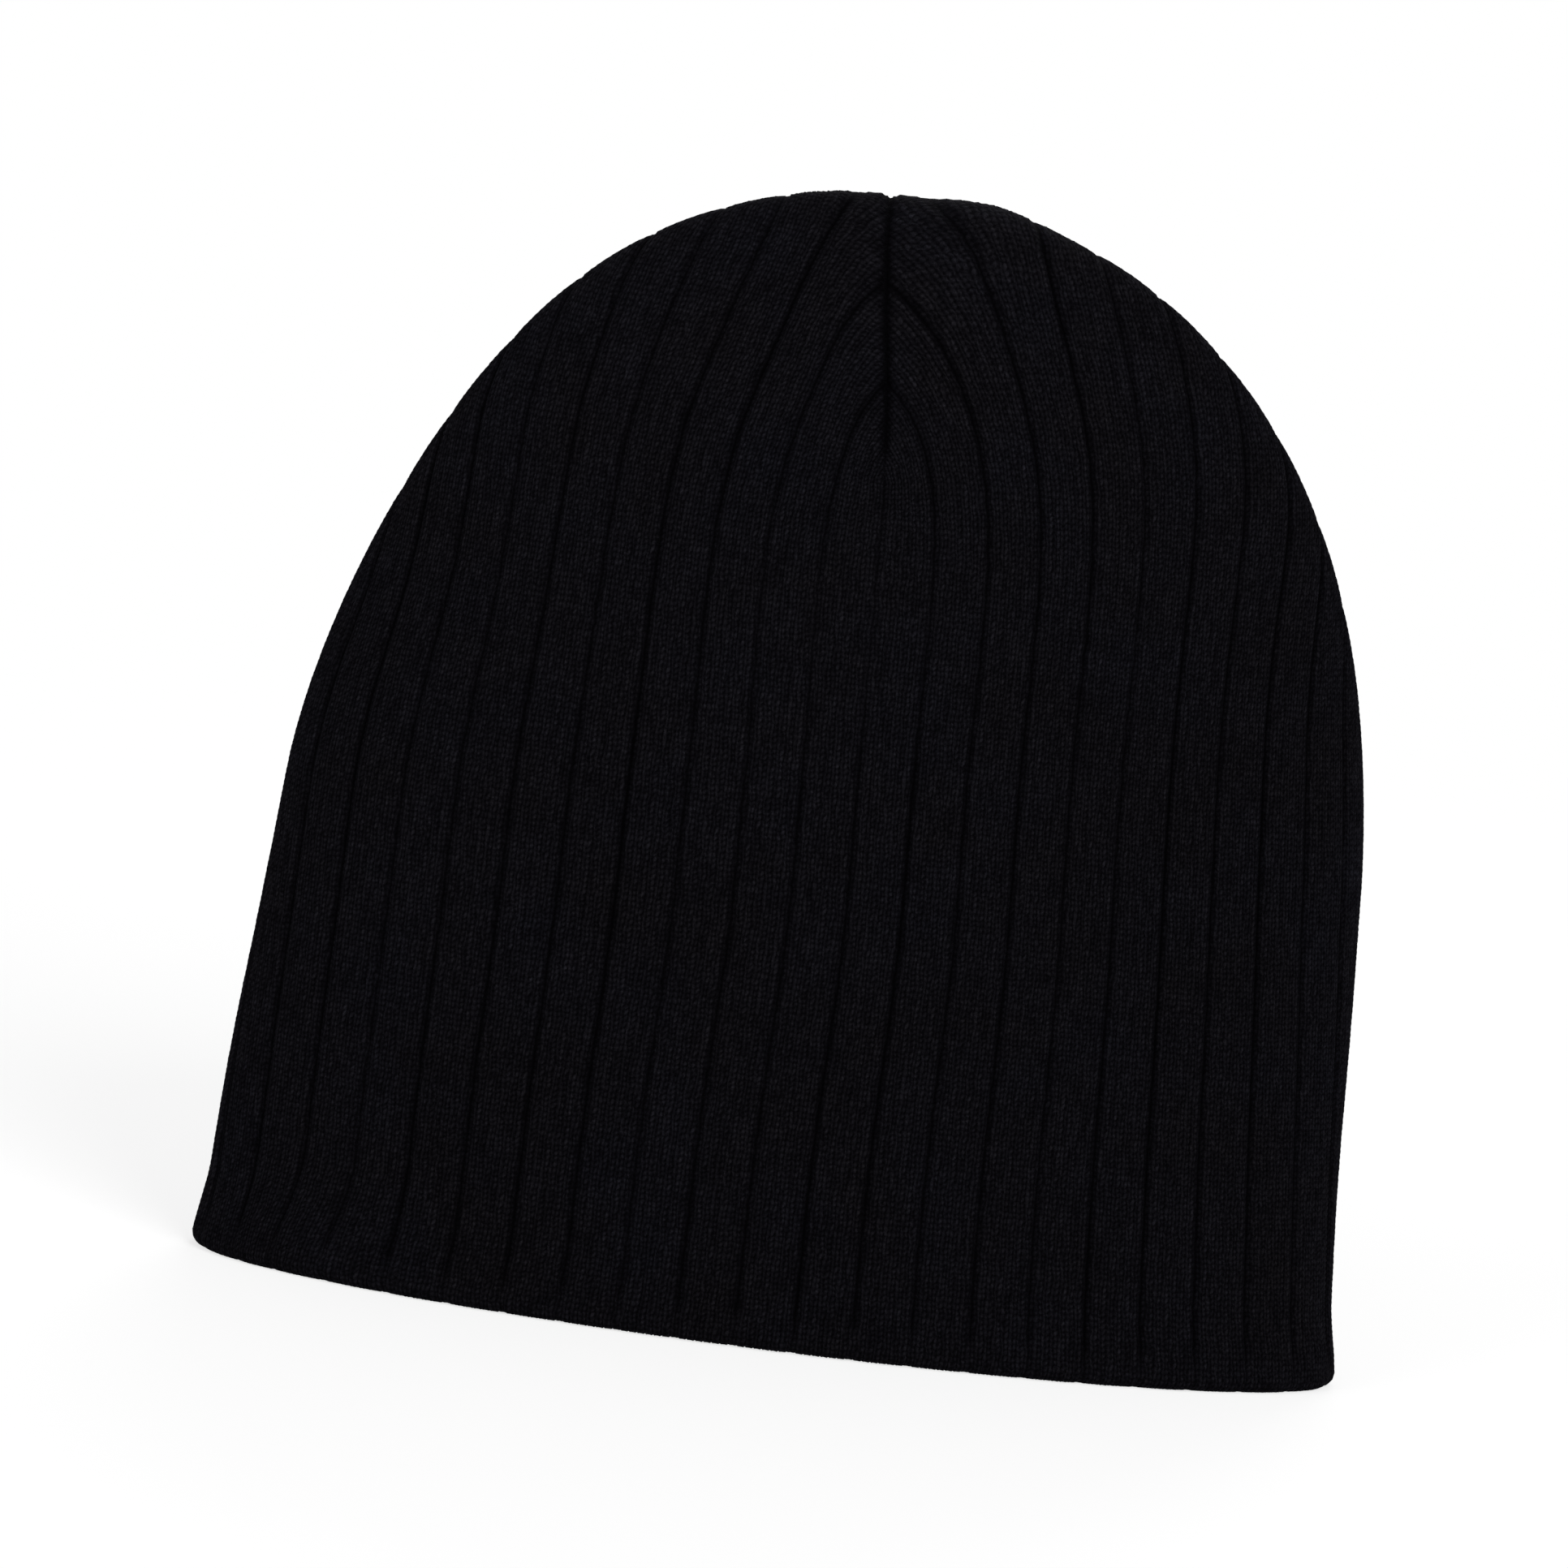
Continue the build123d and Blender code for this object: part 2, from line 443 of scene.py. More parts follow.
def whole_tube(columns_per_wale, inset, fold):
    """A whole layer's points, their wales and courses, and the number of each point of its grid. Columns go
    round from the left side. Points that the darts, the sides and the crown's middle share get one number."""
    nominal, length, way, held, last, kind = knit_grid(columns_per_wale)
    fold_path = math.pi * fold_radius + fold_top - fold_radius
    fold_rows = round(fold_path / half_course) if fold else 0
    count = 4 * (len(nominal) - 1)
    rows = fold_rows + length.shape[1]
    points = np.zeros((count, rows, 3))
    number = np.zeros((count, rows), int)
    front = count // 4
    back = 3 * front
    owner = {}
    for side_x, side_y, start, step in ((1, -1, front, 1), (-1, -1, front, -1),
                                        (1, 1, back, -1), (-1, 1, back, 1)):
        column = (start + step * np.arange(len(nominal))) % count
        own_way = way + pucker(way, length) if (side_x, side_y) == (-1, -1) else way
        points[column, fold_rows:] = place_round(own_way, length, side_x, side_y, inset)
        foot = place_round(own_way[:, :1], length[:, :1], side_x, side_y, 0)[:, 0]
        inner_foot = place_round(own_way[:, :1], length[:, :1], side_x, side_y, inner_inset)[:, 0]
        for row in range(fold_rows):
            path = (fold_rows - row) / fold_rows * fold_path
            angle = min(path / fold_radius, math.pi)
            inward = (1 - math.cos(angle)) / 2
            points[column, row] = foot * (1 - inward) + inner_foot * inward
            past_fold = max(path - math.pi * fold_radius, 0)
            points[column, row, 2] = fold_radius * (1 - math.sin(angle)) + past_fold
        own = column[:, None] * rows + np.arange(rows)[None]
        own[:, fold_rows:] = column[:, None] * rows + fold_rows + held
        for i, end in enumerate(column * rows + fold_rows + last):
            key = (kind[i], (side_y, side_x, 0)[kind[i]], i * (kind[i] < 2))
            own[i, fold_rows + last[i]:] = owner.setdefault(key, end)
        number[column] = own
    wale = np.repeat((np.arange(count) / columns_per_wale)[:, None], rows, 1)
    course = np.repeat(((np.arange(rows) - fold_rows) / 2)[None], count, 0)
    points = points.reshape(-1, 3)
    points[owner[(2, 0, 0)]] = (0, 0, crown_height - inset)
    return points, number, wale.ravel(), course.ravel(), fold_rows


def faces_between(number, columns, rows):
    """The faces of part of the grid. Where points are shared a face has three corners, or is left out."""
    a = number[np.ix_(columns[:-1], rows[:-1])].ravel()
    b = number[np.ix_(columns[1:], rows[:-1])].ravel()
    c = number[np.ix_(columns[1:], rows[1:])].ravel()
    d = number[np.ix_(columns[:-1], rows[1:])].ravel()
    quads = np.stack((a, b, c, d), 1)
    same = np.stack([quads[:, i] == quads[:, (i + 1) % 4] for i in range(4)], 1)
    whole = ~same.any(1) & (quads[:, 0] != quads[:, 2]) & (quads[:, 1] != quads[:, 3])
    corners = [list(dict.fromkeys(face)) for face in quads[~whole].tolist()]
    triangles = [face for face in corners if len(face) == 3]
    return quads[whole], np.array(triangles, int).reshape(-1, 3)


def build_mesh(name, points, quads, triangles):
    """A mesh from arrays of four-cornered and three-cornered faces."""
    mesh = bpy.data.meshes.new(name)
    corners = np.concatenate((quads.ravel(), triangles.ravel()))
    sizes = np.concatenate((np.full(len(quads), 4), np.full(len(triangles), 3)))
    mesh.vertices.add(len(points))
    mesh.vertices.foreach_set("co", np.asarray(points, np.float32).ravel())
    mesh.loops.add(len(corners))
    mesh.loops.foreach_set("vertex_index", corners.astype(np.int32))
    mesh.polygons.add(len(sizes))
    mesh.polygons.foreach_set("loop_start", np.concatenate(([0], np.cumsum(sizes)[:-1])).astype(np.int32))
    mesh.update(calc_edges=True)
    mesh.validate()
    return mesh


def store(mesh, name, values):
    """Keep one number for each point of a mesh."""
    attribute = mesh.attributes.new(name, "FLOAT", "POINT")
    attribute.data.foreach_set("value", np.asarray(values, np.float32))


def new_geometry_tree(name, sizes):
    """A Geometry Nodes tree with a shape, named sizes and a material for its inputs. Also the wires that
    bring them in, and the identifiers under which a modifier sets them."""
    tree = bpy.data.node_groups.new(name, "GeometryNodeTree")
    tree.interface.new_socket("Shape", in_out="INPUT", socket_type="NodeSocketGeometry")
    for size_name, size in sizes.items():
        socket = tree.interface.new_socket(size_name, in_out="INPUT", socket_type="NodeSocketFloat")
        socket.default_value = size
    tree.interface.new_socket("Material", in_out="INPUT", socket_type="NodeSocketMaterial")
    identifiers = {socket.name: socket.identifier for socket in tree.interface.items_tree}
    group_in = tree.nodes.new("NodeGroupInput")
    given = {key: Wire(tree, group_in.outputs[key]) for key in identifiers}
    return tree, given, identifiers


def finish_geometry_tree(tree, shape, material):
    """Close the tree: its shape becomes real mesh in its material."""
    realized = Wire.node(tree, "GeometryNodeRealizeInstances", {}, {"Geometry": shape})
    dressed = Wire.node(tree, "GeometryNodeSetMaterial", {}, {"Geometry": realized, "Material": material})
    tree.interface.new_socket("Shape", in_out="OUTPUT", socket_type="NodeSocketGeometry")
    Wire.node(tree, "NodeGroupOutput", {}, {"Shape": dressed})


def made_plain(name, mesh, tree, inputs):
    """The plain mesh that a Geometry Nodes tree makes of a mesh."""
    holder = place(name, mesh)
    modifier = holder.modifiers.new(name, "NODES")
    modifier.node_group = tree
    for identifier, value in inputs.items():
        modifier[identifier] = value
    bpy.context.view_layer.update()
    made = bpy.data.meshes.new_from_object(holder.evaluated_get(bpy.context.evaluated_depsgraph_get()))
    bpy.data.objects.remove(holder)
    return made


def point(tree, x=0.0, y=0.0, z=0.0):
    """A place put together from numbers or wires."""
    return Wire.node(tree, "ShaderNodeCombineXYZ", {}, {"X": x, "Y": y, "Z": z})


def noise(where, scale=1.0, detail=2.0):
    """Soft noise, mostly between a quarter and three quarters."""
    return Wire.node(where.tree, "ShaderNodeTexNoise", {},
                     {"Vector": where, "Scale": scale, "Detail": detail})


def knit_noise(wale, course, pattern):
    """Noise that follows the knit. A pattern is its changes a wale and a course, and a number of its own."""
    across, up, own_number = pattern
    return noise(point(wale.tree, wale * across, course * up, own_number))


def ripple(turns):
    """A wave that is a half at whole numbers and minus a half between them."""
    return (turns * math.tau).math("COSINE") * 0.5


def dip(distance, reach):
    """1 where a distance is 0, and a smooth fall to 0."""
    return (-(distance / reach) ** 2).math("EXPONENT")


# The rib's relief. It reads each point's wale and course, and how strong the ribs and the darts are there
rib_tree, size, rib_inputs = new_geometry_tree("rib_knit", {
    "Groove Depth": 0.62 * mm,
    "Groove Width": 0.46,
    "Band Crown": 0.35 * mm,
    "Leg Height": 0.22 * mm,
    "Stitch Middle": 0.08 * mm,
    "Belly Height": 0.16 * mm,
    "Dart Valley": 0.75 * mm,
    "Unevenness": 0.16 * mm,
})
uneven_pattern = (0.55, 0.45, 3.0)
purl_width = 0.55
edge_rib = 0.15  # what is left of the ribs where the hat turns away to its sides
open_rib_turn = 1.6
wale, course, ribbing, dart = (
    Wire.node(rib_tree, "GeometryNodeInputNamedAttribute", {"data_type": "FLOAT"}, {"Name": name})
    for name in ("wale", "course", "ribbing", "dart"))
from_groove = wale.math("PINGPONG", wales_per_rib / 2)
groove = dip(from_groove, size["Groove Width"])
band = 1 - (1 - from_groove / (wales_per_rib / 2)) ** 2
plain = 1 - dip(from_groove, purl_width)
belly = ripple(course - wale.math("PINGPONG", 0.5) * stitch_slant)
uneven = knit_noise(wale, course, uneven_pattern) - 0.5
outward = Wire.node(rib_tree, "GeometryNodeInputNormal")
turned_front = Wire.node(rib_tree, "ShaderNodeSeparateXYZ", {}, {0: outward}, output="Y").math("ABSOLUTE")
open_rib = edge_rib + (1 - edge_rib) * (turned_front * open_rib_turn).math("MINIMUM", 1.0)
stitches = (ripple(wale) * size["Stitch Middle"] - ripple(wale * 2) * size["Leg Height"]
            + belly * size["Belly Height"])
relief = (ribbing * open_rib * (band * size["Band Crown"] - groove * size["Groove Depth"]) + plain * stitches
          + uneven * size["Unevenness"] - dart * size["Dart Valley"])
lift = Wire.node(rib_tree, "ShaderNodeVectorMath", {"operation": "SCALE"}, {0: outward, "Scale": relief})
raised = Wire.node(rib_tree, "GeometryNodeSetPosition", {}, {"Geometry": size["Shape"], "Offset": lift})
finish_geometry_tree(rib_tree, raised, size["Material"])


def lit(wave, least):
    """A tone that follows a wave between 0 and 1, and never falls under its least value."""
    return least + wave * (1 - least)


def varied(chance, amount):
    """A factor round 1, from a noise round a half."""
    return 1 + (chance - 0.5) * amount


def blend(share, low, high, clamp=False):
    """A colour between two."""
    return Wire.node(share.tree, "ShaderNodeMix", {"data_type": "RGBA", "clamp_factor": clamp},
                     {0: share, 6: low, 7: high}, output=2)


def stored(tree, *names):
    """The numbers that a mesh keeps for each of its points, as wires."""
    return [Wire.node(tree, "ShaderNodeAttribute", {"attribute_name": name}, {}, output="Fac")
            for name in names]


groove_width = 0.42
# How much painted shade darkens the yarn's colour in the rib grooves and the dart valleys
groove_shade = dart_shade = 0.9
twist_pattern, streak_pattern = (0.9, 0.3, 5.0), (1.7, 0.13, 0.0)
twist_wales, twist_courses = 0.9, 1.6  # how far uneven yarn throws a leg off its place
# Least tones of the painted shade in the gaps between the legs and at their necks
painted_gap_shade, painted_neck_shade = 0.36, 0.46
leg_variation, cloud_variation, streak_variation = 0.6, 0.4, 1.4
fibre_scale, cloud_scale = 3400.0, 60.0
yarn_bump = 0.3 * mm
fuzz_tint = (0.82, 0.80, 1, 1)


def knit_material(name, yarn, yarn_cast, shade):
    """Black acrylic yarn: rows of small slanting legs, with painted shade between them and deeper painted shade
    in the grooves and darts.
    Each leg takes the light a little differently, and fine loose fibres catch it at the edges."""
    material, tree = new_material(name)
    wale, course, ribbing, dart = stored(tree, "wale", "course", "ribbing", "dart")
    groove = dip(wale.math("PINGPONG", wales_per_rib / 2), groove_width) * ribbing
    twist = knit_noise(wale, course, twist_pattern) - 0.5
    slanting = course + twist * twist_courses - wale.math("PINGPONG", 0.5) * stitch_slant
    leg = 0.5 - ripple((wale + twist * twist_wales) * 2)
    along = 0.5 + ripple(slanting)
    # Painted shade: the stitch tone darkens the gaps between the legs and their necks, where shade falls between
    # the loops
    stitch = lit(leg, painted_gap_shade) * lit(along, painted_neck_shade)
    leg_number = point(tree, (wale * 2).math("FLOOR"), (slanting + 0.5).math("FLOOR"))
    own = Wire.node(tree, "ShaderNodeTexWhiteNoise", {"noise_dimensions": "3D"}, {"Vector": leg_number})
    streak = knit_noise(wale, course, streak_pattern)
    spot = Wire.node(tree, "ShaderNodeTexCoord", output="Object")
    fibre = noise(spot, fibre_scale, 3.0)
    cloud = noise(spot, cloud_scale, 3.0)
    fibre_light = (fibre * 1.6 - 0.15).math("MAXIMUM", 0.1)
    # Painted shade: the yarn's colour is darkened in the rib grooves and the dart valleys, where shade falls
    closed = (1 - groove * groove_shade) * (1 - dart.math("MINIMUM", 1.0) * dart_shade)
    tone = (stitch * closed * varied(own, leg_variation) * fibre_light * varied(cloud, cloud_variation)
            * varied(streak, streak_variation))
    cast = blend(cloud * 2 - 0.5, yarn, yarn_cast, clamp=True)
    bump = Wire.node(tree, "ShaderNodeBump", {}, {"Strength": 0.8, "Distance": yarn_bump,
                                                  "Height": stitch * closed + fibre * 0.35 + own * 0.25})
    cloth = Wire.node(tree, "ShaderNodeBsdfPrincipled", {},
                      {"Base Color": blend(tone, shade, cast), "Roughness": 0.82, "Specular IOR Level": 0.006,
                       "Sheen Weight": 0.006, "Sheen Roughness": 0.5, "Sheen Tint": fuzz_tint,
                       "Normal": bump})
    Wire.node(tree, "ShaderNodeOutputMaterial", {}, {"Surface": cloth})
    return material


outer_knit = knit_material("outer_knit", yarn=(0.0100, 0.0091, 0.0109, 1),
                           yarn_cast=(0.0087, 0.0085, 0.0115, 1), shade=(0.0003, 0.0002, 0.0004, 1))


def read_points(mesh):
    """The place of each point of a mesh."""
    values = np.zeros(len(mesh.vertices) * 3, np.float32)
    mesh.vertices.foreach_get("co", values)
    return values.reshape(-1, 3).astype(float)


def read_normals(mesh):
    """The normal at each point of a mesh."""
    values = np.zeros(len(mesh.vertices) * 3, np.float32)
    mesh.vertex_normals.foreach_get("vector", values)
    return values.reshape(-1, 3).astype(float)


valley_width = 0.9 * mm
front_valley_full = front_dart_start + 8 * mm
side_valley_full = side_dart_start + 10 * mm
side_valley_share = 0.25
crown_middle = 12 * mm
stretched_height, stretched_across, stretched_up = 132 * mm, 22 * mm, 19 * mm
hem_flatness, hem_courses = 0.65, 4
floor_clearance = 0.03 * mm


def knit_fields(points, wale, course):
    """What the relief and the yarn read at each point: its wale and course, how strong the ribs are and how
    deep the darts. Ribs are weaker below the front dart, where the knit is stretched, and at the hem."""
    x, y, z = points.T
    from_dart = x - crown_shift(z) - dart_lean(z)
    front_valley = bell(from_dart, 0, valley_width) * eased(z, front_dart_start, front_valley_full)
    side_valley = bell(y, 0, valley_width) * eased(z, side_dart_start, side_valley_full)
    side_valley = side_valley * (np.abs(x) > crown_middle)
    stretched = bell(x, 0, stretched_across) * bell(z, stretched_height, stretched_up)
    hem = 1 - hem_flatness * np.clip(1 - (course - 1) / hem_courses, 0, 1)
    # Each rib draws in its groove a little more or less than the next, from two thirds to the whole of it
    rib = np.round(wale / wales_per_rib)
    grip = 0.83 + 0.17 * np.sin(rib * 2.4 + 0.7) * np.sin(course * 0.021 + rib * 1.3)
    return {"wale": wale, "course": course, "ribbing": (1 - 0.5 * stretched) * hem * grip,
            "dart": np.maximum(front_valley, side_valley_share * side_valley)}


def knit_panels(prefix, columns_per_wale, inset, fold, cloth, panel_ribs, inward=False, sizes=None):
    """A whole layer in relief, cut in purl grooves into panels, each a closed shell with a plain back. Each
    comes with its width and height laid flat, and its area, which the darts make less than their product."""
    points, number, wale, course, fold_rows = whole_tube(columns_per_wale, inset, fold)
    if not fold:
        number = number[:, math.ceil((fold_top - fold_radius) / half_course):]
    count, rows = number.shape
    used, compact = np.unique(number, return_inverse=True)
    number = compact.reshape(number.shape)
    points, wale, course = drape(points)[used], wale[used], course[used]
    quads, triangles = faces_between(number, np.arange(count + 1) % count, np.arange(rows))
    if inward:
        quads, triangles = quads[:, ::-1], triangles[:, ::-1]
    base = build_mesh(prefix, points, quads, triangles)
    back = points - read_normals(base) * knit_thickness
    fields = knit_fields(points, wale, course)
    for key, values in fields.items():
        store(base, key, values)
    face = read_points(made_plain(prefix, base, rib_tree, {**(sizes or {}), rib_inputs["Material"]: cloth}))
    face[:, 2] = np.maximum(face[:, 2], floor_clearance)

    panels = []
    rib_columns = wales_per_rib * columns_per_wale
    fold_steps, face_steps = np.arange(0, fold_rows + 1, 2), np.arange(fold_rows, rows, 8)
    coarse_rows = np.unique(np.concatenate((fold_steps, face_steps, [rows - 1])))
    for label, first_rib, last_rib in panel_ribs:
        columns = np.arange(first_rib * rib_columns, last_rib * rib_columns + 1)
        coarse_columns = np.unique([*range(0, len(columns), 2 * columns_per_wale), len(columns) - 1])
        fine = number[columns % count]
        panel = closed_panel(f"{prefix}_{label}", fine, coarse_columns, coarse_rows, face, back, fields,
                             cloth, inward)
        cells = sum(len(faces) for faces in faces_between(fine, np.arange(len(fine)), np.arange(rows)))
        flat = ((last_rib - first_rib) * wales_per_rib * wale_at_hem, (rows - 1) * half_course)
        area = cells * wale_at_hem / columns_per_wale * half_course
        panels.append((panel, flat, min(area, flat[0] * flat[1])))
    return panels


def walk_rim(name, quads, triangles, start_among):
    """The open rim of some faces, as the point that follows each of its points and as one closed walk."""
    directed = np.concatenate([quads[:, [i, (i + 1) % 4]] for i in range(4)]
                              + [triangles[:, [i, (i + 1) % 3]] for i in range(3)])
    points = directed.max() + 1
    edge, edge_back = directed[:, 0] * points + directed[:, 1], directed[:, 1] * points + directed[:, 0]
    follow = dict(directed[~np.isin(edge, edge_back)].tolist())
    start = next(point for point in follow if point in start_among)
    walk, here = [start], follow[start]
    while here != start:
        walk.append(here)
        here = follow[here]
    if len(walk) != len(follow):
        raise ValueError(f"{name}: rim of {len(follow)} points, walk of {len(walk)}")
    return follow, walk + [start]


def wall_faces(walk, back_used, offset):
    """Triangles from a fine rim to the coarse rim behind it, whose points are numbered from the offset on."""
    stops = [i for i, point in enumerate(walk) if point in back_used]
    walls = []
    for low, high in zip(stops[:-1], stops[1:]):
        half = (low + high) // 2
        low_back, high_back = walk[low] + offset, walk[high] + offset
        walls += [(walk[i + 1], walk[i], low_back) for i in range(low, half)]
        walls.append((walk[half], low_back, high_back))
        walls += [(walk[i + 1], walk[i], high_back) for i in range(half, high)]
    return np.array(walls)


pattern_margin = 0.01
pattern_height = 0.98
face_pattern_width = 0.9
back_pattern_start, back_pattern_width = 0.93, 0.06


def lay_flat(mesh, across, up, on_back):
    """Give a panel its flat pattern: its wales across and its courses up, with the back beside the face."""
    across = (across - across.min()) / (across.max() - across.min())
    up = (up - up.min()) / (up.max() - up.min())
    across = np.where(on_back, back_pattern_start + back_pattern_width * across,
                      pattern_margin + face_pattern_width * across)
    flat = np.stack((across, pattern_margin + pattern_height * up), 1)
    corner_points = np.zeros(len(mesh.loops), np.int32)
    mesh.loops.foreach_get("vertex_index", corner_points)
    layer = mesh.uv_layers.new(name="OFBake")
    layer.data.foreach_set("uv", flat[corner_points].astype(np.float32).ravel())


def shade_smooth(mesh, kept, follow, points):
    """Shade a panel smooth, but sharp where its face ends. kept gives each point its number in the grid."""
    mesh.polygons.foreach_set("use_smooth", np.ones(len(mesh.polygons), bool))
    ends = np.zeros(len(mesh.edges) * 2, np.int32)
    mesh.edges.foreach_get("vertices", ends)
    ends = kept[ends.reshape(-1, 2)]
    rim_next = np.full(points, -1)
    rim_next[list(follow)] = list(follow.values())
    sharp = (rim_next[ends[:, 0]] == ends[:, 1]) | (rim_next[ends[:, 1]] == ends[:, 0])
    edge_sharp = mesh.attributes.get("sharp_edge") or mesh.attributes.new("sharp_edge", "BOOLEAN", "EDGE")
    edge_sharp.data.foreach_set("value", sharp)


def closed_panel(name, fine, coarse_columns, coarse_rows, face, back, fields, cloth, inward):
    """One panel's shell: the fine face, a coarse back, and a wall that joins their two rims."""
    quads, triangles = faces_between(fine, np.arange(fine.shape[0]), np.arange(fine.shape[1]))
    back_quads, back_triangles = faces_between(fine, coarse_columns, coarse_rows)
    back_used = set(np.concatenate((back_quads.ravel(), back_triangles.ravel())).tolist())
    follow, walk = walk_rim(name, quads, triangles, back_used)
    offset = len(face)
    walls = wall_faces(walk, back_used, offset)
    all_quads = np.concatenate((quads, back_quads[:, ::-1] + offset))
    all_triangles = np.concatenate((triangles, back_triangles[:, ::-1] + offset, walls))
    if inward:
        all_quads, all_triangles = all_quads[:, ::-1], all_triangles[:, ::-1]
    kept, corners = np.unique(np.concatenate((all_quads.ravel(), all_triangles.ravel())), return_inverse=True)
    mesh = build_mesh(name, np.concatenate((face, back))[kept], corners[:all_quads.size].reshape(-1, 4),
                      corners[all_quads.size:].reshape(-1, 3))
    fields = {key: np.tile(values, 2)[kept] for key, values in fields.items()}
    for key, values in fields.items():
        store(mesh, key, values)
    lay_flat(mesh, fields["wale"], fields["course"], kept >= offset)
    shade_smooth(mesh, kept, follow, 2 * offset)
    mesh.materials.append(cloth)
    return place(name, mesh)


# Each panel's name, and the ribs that it starts and ends at, counted round from the left side
eighths = (("left_front_side", 0, 5), ("left_front", 5, 11), ("right_front", 11, 17),
           ("right_front_side", 17, 22), ("right_back_side", 22, 27), ("right_back", 27, 33),
           ("left_back", 33, 39), ("left_back_side", 39, 44))
for panel, flat, area in knit_panels("outer_knit", columns_per_wale=4, inset=0, fold=True, cloth=outer_knit,
                                     panel_ribs=eighths):
    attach(panel, "root")
    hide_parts("outer_layer")

# The inner layer is the same tube turned up inside the hat, from the fold's end to its own crown. Its right
# side faces the head, so its ribs and darts lie behind the outer layer's. Four panels make it, one a quarter.
# Painted light: the inner layer's yarn and shade colours are lighter than the outer layer's, though it is the
# same yarn, to lift the shade inside the hat
inner_knit = knit_material("inner_knit", yarn=(0.0135, 0.0124, 0.0147, 1),
                           yarn_cast=(0.0120, 0.0117, 0.0158, 1), shade=(0.0007, 0.0006, 0.0009, 1))
inner_relief = {rib_inputs["Groove Depth"]: 0.5 * mm, rib_inputs["Band Crown"]: 0.15 * mm,
                rib_inputs["Leg Height"]: 0.0, rib_inputs["Stitch Middle"]: 0.2 * mm}
quarters = (("left_front", 0, 11), ("right_front", 11, 22), ("right_back", 22, 33), ("left_back", 33, 44))
for panel, flat, area in knit_panels("inner_knit", columns_per_wale=2, inset=inner_inset, fold=False,
                                     cloth=inner_knit, panel_ribs=quarters, inward=True, sizes=inner_relief):
    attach(panel, "root")
    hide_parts("inner_layer")

# Eight dart seams lie in the gap between the two crowns, one behind each dart of each layer. Each is a narrow
# overlocked edge of black thread, and it is draped like the cloth that it closes.
ply_across, ply_up = 1400, 3900  # the slant of the thread's plies, in radians a metre
thread_fibre_scale = 4200.0
thread_bump = 0.3 * mm
black = (0, 0, 0, 1)


def thread_material(name, colour, gloss):
    """Spun polyester thread: fine slanting plies, slightly glossy."""
    material, tree = new_material(name)
    spot = Wire.node(tree, "ShaderNodeTexCoord", output="Object")
    x, y, z = (Wire.node(tree, "ShaderNodeSeparateXYZ", {}, {0: spot}, output=axis) for axis in "XYZ")
    plies = ((x + y) * ply_across + z * ply_up).math("SINE") * 0.5 + 0.5
    fibre = noise(spot, thread_fibre_scale, 3.0)
    colour = blend(0.55 + plies * 0.35 + fibre * 0.3, black, colour)
    bump = Wire.node(tree, "ShaderNodeBump", {}, {"Strength": 0.7, "Distance": thread_bump,
                                                  "Height": plies + fibre * 0.4})
    thread = Wire.node(tree, "ShaderNodeBsdfPrincipled", {}, {"Base Color": colour, "Roughness": 0.55,
                                                              "Specular IOR Level": gloss, "Normal": bump})
    Wire.node(tree, "ShaderNodeOutputMaterial", {}, {"Surface": thread})
    return material


def draped_copy(name, node_name, material):
    """A new piece with a CAD node's shape, merged and draped with the cloth around it."""
    source = bpy.data.objects[node_name]
    mesh = source.data.copy()
    mesh.name = name
    mesh.transform(source.matrix_world)
    joined = bmesh.new()
    joined.from_mesh(mesh)
    bmesh.ops.remove_doubles(joined, verts=joined.verts, dist=0.005 * mm)
    joined.to_mesh(mesh)
    joined.free()
    mesh.vertices.foreach_set("co", drape(read_points(mesh)).astype(np.float32).ravel())
    mesh.materials.clear()
    mesh.materials.append(material)
    mesh.update()
    copy = place(name, mesh)
    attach(copy, "root")
    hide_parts(node_name)
    return copy


seam_thread = thread_material("seam_thread", (0.012, 0.0115, 0.0135, 1), gloss=0.2)
for layer in ("outer", "inner"):
    for side in ("front", "back", "left", "right"):
        seam = draped_copy(f"{layer}_seam_{side}", f"{layer}_dart_seam_{side}", seam_thread)

# The crown tack is a knot of the same thread between the two crowns. It holds them together where their darts
# meet, so that the inner layer doesn't slip down.
tack = draped_copy("tack_between_crowns", "crown_tack", seam_thread)

# The label is a blank off-white satin ribbon with both ends folded under. It lies on the inner layer inside
# the back, bowed slightly between the stitches at its ends.
label_width = 24 * mm
label_length = 34 * mm
label_foot = 26 * mm
label_thickness = 0.35 * mm
label_end_fold = 3.5 * mm
label_fold_rise, label_fold_slope = 0.3 * mm, 0.6 * mm
label_off_knit = 0.4 * mm
label_bow = 0.5 * mm
bow_unevenness, bow_turn = 0.4, 260
label_columns, label_rows = 25, 35
weave_pitch = 0.18 * mm
satin_bump = 0.08 * mm
satin_white = (0.72, 0.71, 0.68, 1)

label_satin, tree = new_material("label_satin")
across, up = stored(tree, "across", "up")
warp = (across * (math.tau / weave_pitch)).math("SINE") * 0.5 + 0.5
weft = ((up * 0.5 + across * 0.2) * (math.tau / weave_pitch)).math("SINE") * 0.5 + 0.5
slub = noise(Wire.node(tree, "ShaderNodeTexCoord", output="Object"), 900.0)
selvedge = (across.math("ABSOLUTE") / (label_width / 2)) ** 24
satin = blend(0.9 + warp * 0.06 + slub * 0.08 - selvedge * 0.12, black, satin_white)
bump = Wire.node(tree, "ShaderNodeBump", {}, {"Strength": 0.4, "Distance": satin_bump,
                                              "Height": warp * 0.6 + weft * 0.3 + slub * 0.3})
ribbon = Wire.node(tree, "ShaderNodeBsdfPrincipled", {},
                   {"Base Color": satin, "Roughness": 0.38 + slub * 0.12, "Specular IOR Level": 0.45,
                    "Normal": bump})
Wire.node(tree, "ShaderNodeOutputMaterial", {}, {"Surface": ribbon})


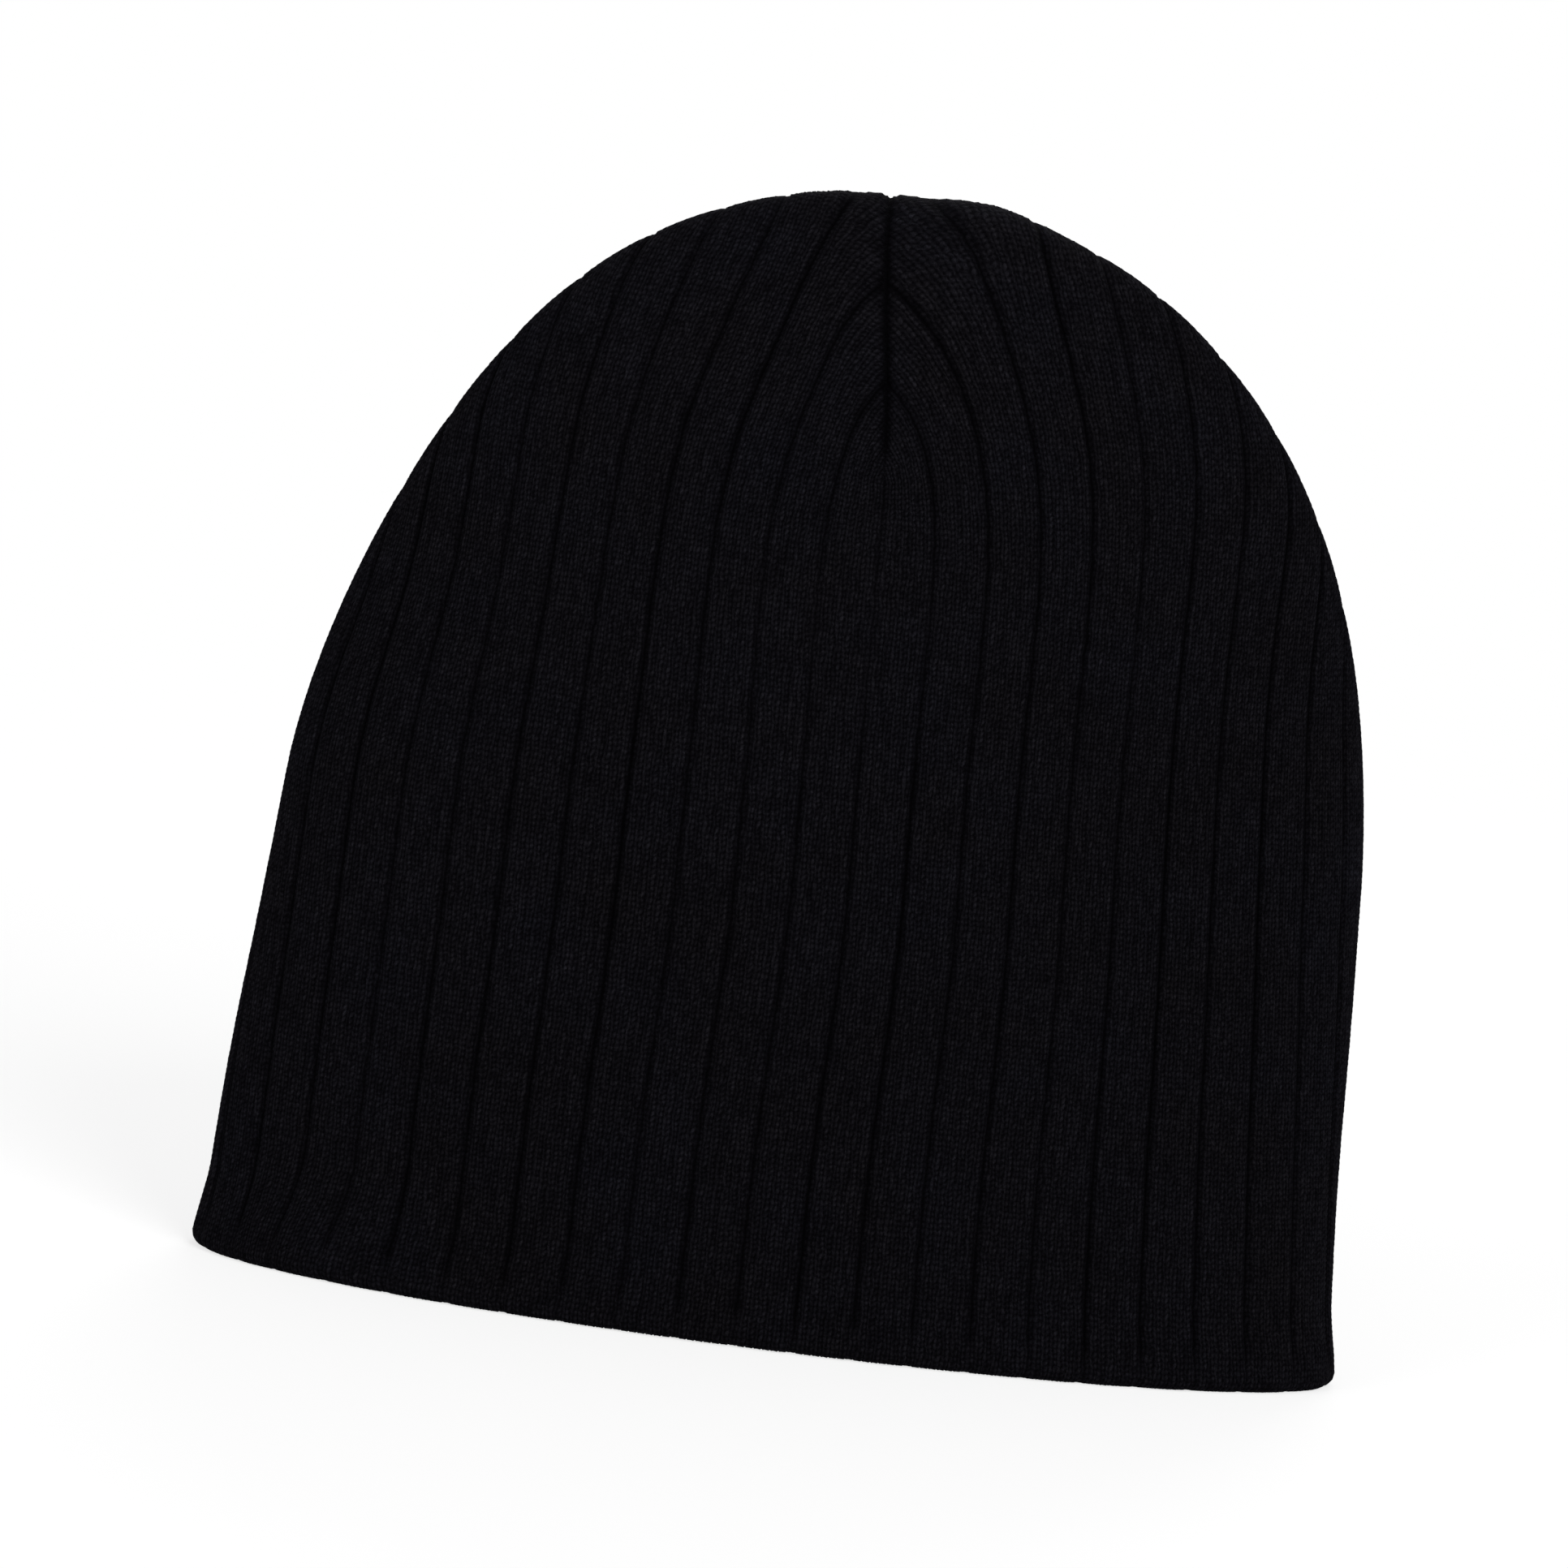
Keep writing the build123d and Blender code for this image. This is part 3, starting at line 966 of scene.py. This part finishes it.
def on_inside_back(across, height, off_knit):
    """Draped points on the inside of the hat's back, at a distance off the inner layer's face."""
    width, depth, rise = side_profile(inner_inset)
    from_middle = across / np.interp(height, rise, width)
    back = np.interp(height, rise, depth) * np.sqrt(1 - from_middle ** 2) - off_knit
    return drape(np.stack((across, back, height), 1))


label_across, label_up = (
    grid.ravel() for grid in np.meshgrid(np.linspace(-0.5, 0.5, label_columns) * label_width,
                                         np.linspace(-0.5, 0.5, label_rows) * label_length))
bow = label_bow * np.cos(math.pi * label_up / label_length)
bow = bow * (1 + bow_unevenness * np.sin(label_across * bow_turn))
fold_edge = label_length / 2 - label_end_fold
end_fold = label_fold_rise * eased(np.abs(label_up), fold_edge, fold_edge + label_fold_slope)
label_height = label_foot + label_length / 2 + label_up
label_back = on_inside_back(label_across, label_height, label_off_knit + bow)
label_face = on_inside_back(label_across, label_height, label_off_knit + bow + label_thickness + end_fold)

face_points = label_columns * label_rows
label_number = np.arange(face_points).reshape(label_rows, label_columns)
face_quads, _ = faces_between(label_number, np.arange(label_rows), np.arange(label_columns))
rim = np.concatenate((label_number[0], label_number[1:, -1], label_number[-1, -2::-1],
                      label_number[-2:0:-1, 0]))
rim_quads = np.stack((rim, np.roll(rim, -1), np.roll(rim, -1) + face_points, rim + face_points), 1)
label_quads = np.concatenate((face_quads, face_quads[:, ::-1] + face_points, rim_quads))
label_mesh = build_mesh("care_label_satin", np.concatenate((label_face, label_back)), label_quads,
                        np.zeros((0, 3), int))
store(label_mesh, "across", np.tile(label_across, 2))
store(label_mesh, "up", np.tile(label_up, 2))
label_mesh.materials.append(label_satin)
label = place("care_label_satin", label_mesh)
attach(label, "root")
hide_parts("care_label")

# Ten short stitches of black thread hold the label, five across each end. Each arches over the satin and
# dives into it at both ends.
stitch_sizes = {"Stitch Length": 2.4 * mm, "Thread Radius": 0.2 * mm, "Arch": 0.28 * mm}
stitch_margin = 2.5 * mm
stitches_in_row = 5
stitch_off_label = 0.3 * mm

label_thread = thread_material("label_thread", (0.016, 0.015, 0.018, 1), gloss=0.3)
stitch_tree, given, stitch_inputs = new_geometry_tree("label_stitching", stitch_sizes)
half_stitch = given["Stitch Length"] * 0.5
arch = Wire.node(stitch_tree, "GeometryNodeCurveQuadraticBezier", {},
                 {"Resolution": 8, "Start": point(stitch_tree, -half_stitch),
                  "Middle": point(stitch_tree, y=given["Arch"] * -2), "End": point(stitch_tree, half_stitch)})
thread_round = Wire.node(stitch_tree, "GeometryNodeCurvePrimitiveCircle", {},
                         {"Resolution": 7, "Radius": given["Thread Radius"]})
stitch = Wire.node(stitch_tree, "GeometryNodeCurveToMesh", {},
                   {"Curve": arch, "Profile Curve": thread_round, "Fill Caps": True})
stitches = Wire.node(stitch_tree, "GeometryNodeInstanceOnPoints", {},
                     {"Points": given["Shape"], "Instance": stitch})
finish_geometry_tree(stitch_tree, stitches, given["Material"])

row_reach = label_width / 2 - stitch_sizes["Stitch Length"]
stitch_across = np.tile(np.linspace(-row_reach, row_reach, stitches_in_row), 2)
row_heights = (label_foot + stitch_margin, label_foot + label_length - stitch_margin)
stitch_height = np.repeat(row_heights, stitches_in_row)
stitch_off_knit = label_off_knit + label_thickness + stitch_off_label
stitch_places = on_inside_back(stitch_across, stitch_height, stitch_off_knit)
place_mesh = bpy.data.meshes.new("label_stitch_places")
place_mesh.from_pydata(stitch_places.tolist(), [], [])
stitch_mesh = made_plain("label_stitch_places", place_mesh, stitch_tree,
                         {stitch_inputs["Material"]: label_thread})
stitch_rows = place("label_stitch_rows", stitch_mesh)
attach(stitch_rows, "root")
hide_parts("label_stitches")
